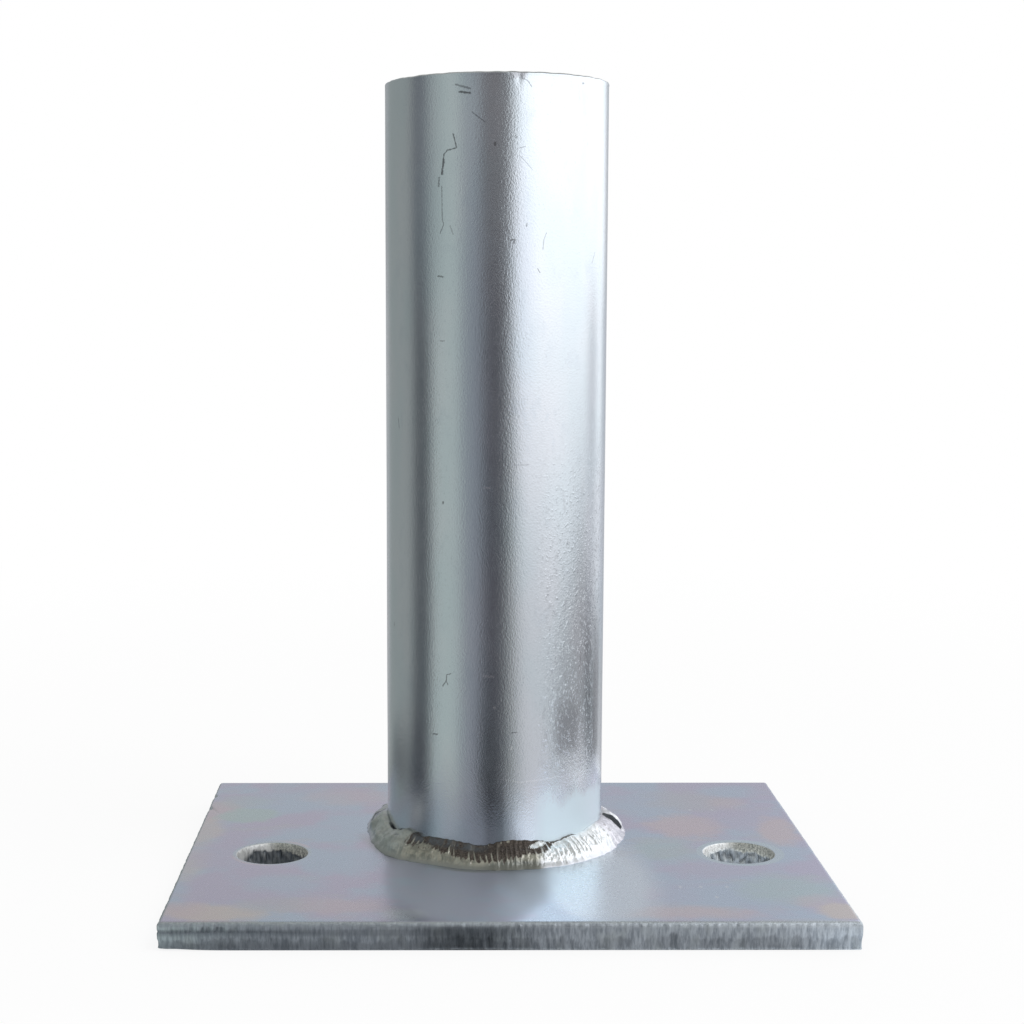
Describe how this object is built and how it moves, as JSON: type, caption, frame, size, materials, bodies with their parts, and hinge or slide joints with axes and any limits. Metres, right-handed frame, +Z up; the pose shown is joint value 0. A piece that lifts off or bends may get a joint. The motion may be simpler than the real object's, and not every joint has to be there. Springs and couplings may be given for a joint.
{
  "type": "railing post base",
  "caption": "Round steel tube welded upright on a rectangular base plate with fixing holes, so that a railing post stands on it; bright zinc finish.",
  "frame": {"origin": "centre of the plate's underside", "axes": "+Z up along the tube, +X along the plate's length, +Y towards the plate edge that the tube stands nearer to"},
  "size_m": [0.12, 0.092, 0.15],
  "materials": {
    "plate_steel": "bright zinc plate, faint lilac, blue and straw passivation tints",
    "tube_steel": "bright zinc plate over drawn tube, fine grit and light lengthways streaks",
    "weld_metal": "zinc plated over weld ripples, brown in the hollows"
  },
  "bodies": {
    "root": {"base_plate": "plate_steel", "post_tube": "tube_steel", "weld_bead": "weld_metal"}
  },
  "joints": []
}
